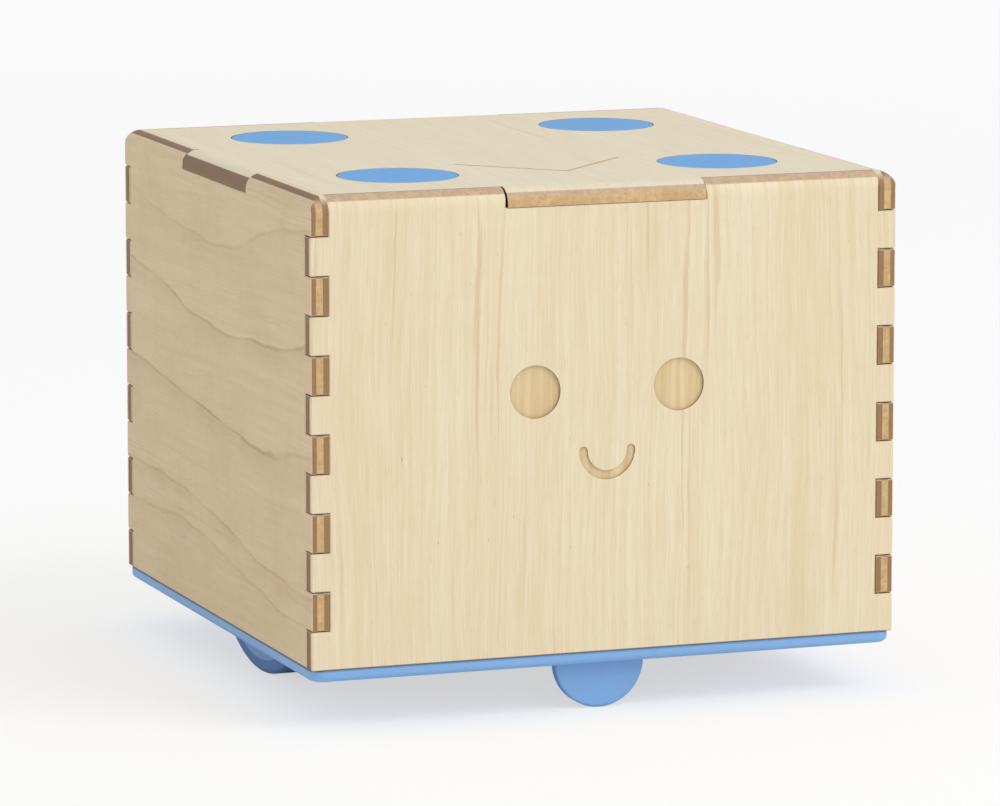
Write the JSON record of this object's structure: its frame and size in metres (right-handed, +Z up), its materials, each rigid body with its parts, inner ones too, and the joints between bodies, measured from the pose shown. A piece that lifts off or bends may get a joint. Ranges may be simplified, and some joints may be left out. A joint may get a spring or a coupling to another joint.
{
  "type": "educational coding robot",
  "caption": "Box-shaped wooden floor robot that teaches coding: finger-jointed plywood shell with a plain smiling face, moulded base, geared drive wheels and half-moon feet.",
  "frame": {"origin": "on the floor under the middle of the body", "axes": "+Z up, -Y the way the face looks and the robot drives forward, +X to the right of a viewer who faces the robot"},
  "size_m": [0.13, 0.13, 0.1112],
  "materials": {
    "plywood": "satin",
    "softwood": "matt",
    "blue_moulding": "satin",
    "blue_cap": "satin",
    "blue_rubber": "matt",
    "grey_plastic": "satin",
    "white_nylon": "satin",
    "black_plastic": "satin",
    "steel": "brushed",
    "plated_steel": "bright plated",
    "brass": "turned",
    "magnet": "matt",
    "cell_jacket": "gloss",
    "board_green": "gloss",
    "chip_black": "matt",
    "wire_red": "satin",
    "wire_grey": "satin"
  },
  "bodies": {
    "body": {"front_panel": "plywood", "back_panel": "plywood", "left_panel": "plywood", "right_panel": "plywood", "lid_panel": "plywood", "lid_caps": "blue_cap", "corner_blocks": "softwood", "base_screws": "plated_steel", "base_plate": "blue_moulding", "front_foot": "blue_moulding", "rear_foot": "blue_moulding", "battery_box": "black_plastic", "battery_box_screws": "plated_steel", "battery_cells": "cell_jacket", "battery_springs": "plated_steel", "battery_contacts": "plated_steel", "motor_magnets": "magnet", "motor_end_caps": "white_nylon", "axle_bushes": "brass", "gear_pins": "steel", "gearbox_screws": "plated_steel", "circuit_board": "board_green", "board_screws": "plated_steel", "controller_chips": "chip_black", "radio_module": "plated_steel", "buzzer": "chip_black", "capacitors": "plated_steel", "wire_connectors": "white_nylon", "power_switch_body": "black_plastic", "motor_wires": "wire_red", "battery_wires": "wire_red", "switch_wires": "wire_grey", "left_gearbox_case": "grey_plastic", "left_gearbox_cover": "grey_plastic", "left_motor_can": "steel", "right_gearbox_case": "grey_plastic", "right_gearbox_cover": "grey_plastic", "right_motor_can": "steel"},
    "battery_door_set": {"battery_door": "blue_moulding", "battery_door_screws": "plated_steel"},
    "switch_slider": {"power_switch_slider": "black_plastic"},
    "left_wheel_set": {"left_wheel": "blue_moulding", "left_tyre": "blue_rubber", "left_axle": "steel", "left_wheel_screw": "plated_steel", "left_output_gear": "white_nylon"},
    "left_second_gear_set": {"left_second_gear": "white_nylon"},
    "left_first_gear_set": {"left_first_gear": "white_nylon"},
    "left_rotor_set": {"left_motor_rotor": "steel", "left_motor_pinion": "brass"},
    "right_wheel_set": {"right_wheel": "blue_moulding", "right_tyre": "blue_rubber", "right_axle": "steel", "right_wheel_screw": "plated_steel", "right_output_gear": "white_nylon"},
    "right_second_gear_set": {"right_second_gear": "white_nylon"},
    "right_first_gear_set": {"right_first_gear": "white_nylon"},
    "right_rotor_set": {"right_motor_rotor": "steel", "right_motor_pinion": "brass"}
  },
  "joints": [
    {"name": "left_wheel_spin", "type": "hinge", "parent": "body", "child": "left_wheel_set", "pos_m": [-0.042, 0, 0.038], "axis": [1, 0, 0], "continuous": true},
    {"name": "left_second_gear_spin", "type": "hinge", "parent": "body", "child": "left_second_gear_set", "pos_m": [-0.04, 0.0141, 0.04313], "axis": [1, 0, 0], "continuous": true},
    {"name": "left_first_gear_spin", "type": "hinge", "parent": "body", "child": "left_first_gear_set", "pos_m": [-0.036, 0.02515, 0.03539], "axis": [1, 0, 0], "continuous": true},
    {"name": "left_motor_spin", "type": "hinge", "parent": "body", "child": "left_rotor_set", "pos_m": [-0.02, 0.0275, 0.04868], "axis": [1, 0, 0], "continuous": true},
    {"name": "right_wheel_spin", "type": "hinge", "parent": "body", "child": "right_wheel_set", "pos_m": [0.042, 0, 0.038], "axis": [1, 0, 0], "continuous": true},
    {"name": "right_second_gear_spin", "type": "hinge", "parent": "body", "child": "right_second_gear_set", "pos_m": [0.04, 0.0141, 0.04313], "axis": [1, 0, 0], "continuous": true},
    {"name": "right_first_gear_spin", "type": "hinge", "parent": "body", "child": "right_first_gear_set", "pos_m": [0.036, 0.02515, 0.03539], "axis": [1, 0, 0], "continuous": true},
    {"name": "right_motor_spin", "type": "hinge", "parent": "body", "child": "right_rotor_set", "pos_m": [0.02, 0.0275, 0.04868], "axis": [1, 0, 0], "continuous": true},
    {"name": "power_switch_slide", "type": "slide", "parent": "body", "child": "switch_slider", "axis": [1, 0, 0], "range_m": [0, 0.004]},
    {"name": "battery_door_lift_off", "type": "slide", "parent": "body", "child": "battery_door_set", "axis": [0, 0, -1], "range_m": [0, 0.009]}
  ],
  "couplings": [
    {"joint": "left_second_gear_spin", "follows": "left_wheel_spin", "ratio": -4},
    {"joint": "left_first_gear_spin", "follows": "left_wheel_spin", "ratio": 14},
    {"joint": "left_motor_spin", "follows": "left_wheel_spin", "ratio": -49},
    {"joint": "right_second_gear_spin", "follows": "right_wheel_spin", "ratio": -4},
    {"joint": "right_first_gear_spin", "follows": "right_wheel_spin", "ratio": 14},
    {"joint": "right_motor_spin", "follows": "right_wheel_spin", "ratio": -49}
  ]
}
